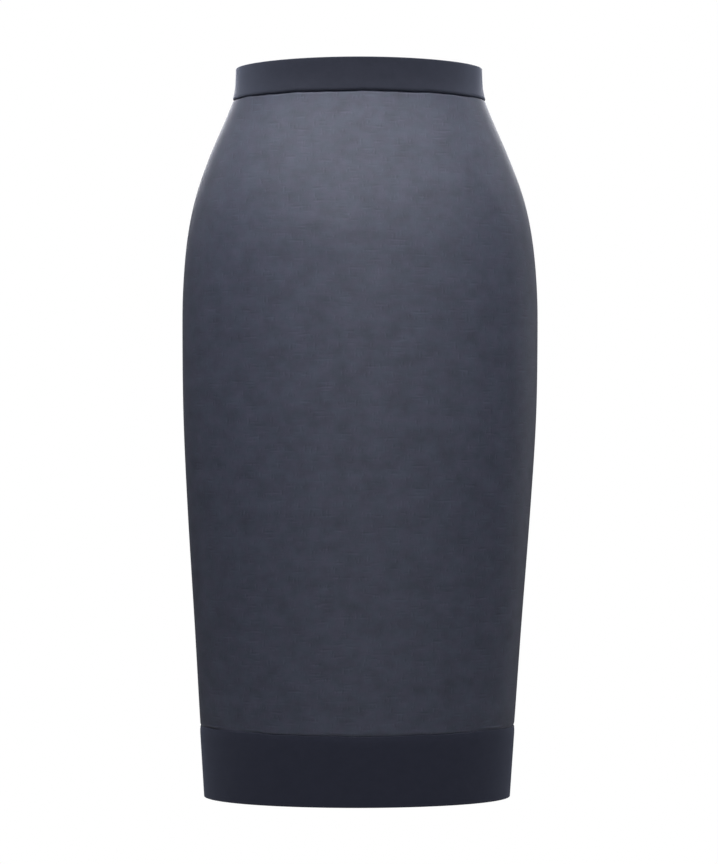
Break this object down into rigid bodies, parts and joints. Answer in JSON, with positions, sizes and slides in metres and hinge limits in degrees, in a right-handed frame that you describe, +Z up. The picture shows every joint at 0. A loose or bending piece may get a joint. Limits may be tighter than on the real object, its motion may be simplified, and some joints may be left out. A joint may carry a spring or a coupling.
{
  "type": "pencil skirt",
  "caption": "High-waisted pencil skirt, filled out as worn, with a plain waistband, a contrast hem band, a concealed back zip and a back vent.",
  "frame": {"origin": "centre of the waist, half way up the waistband", "axes": "+Z up, -Y the way the front faces, +X towards the wearer's left"},
  "size_m": [0.3548, 0.243, 0.7293],
  "materials": {
    "body_cloth": "slub plain weave in blue-grey, with a soft sheen",
    "band_cloth": "smooth close weave in charcoal",
    "zip_metal": "enamel matched to the cloth, satin"
  },
  "bodies": {
    "skirt": {"front_panel": "body_cloth", "back_panel_left": "body_cloth", "back_panel_right": "body_cloth", "waistband_front": "band_cloth", "waistband_back_left": "band_cloth", "waistband_back_right": "band_cloth", "hem_band_front": "band_cloth", "hem_band_back_left": "band_cloth", "hem_band_back_right": "band_cloth", "zip_slider": "zip_metal"},
    "zip_pull": {"zip_pull": "zip_metal"}
  },
  "joints": [
    {"name": "zip_pull_hinge", "type": "hinge", "parent": "skirt", "child": "zip_pull", "pos_m": [0, 0.08734, 0.00751], "axis": [1, 0, 0], "range_deg": [0, 165]}
  ]
}
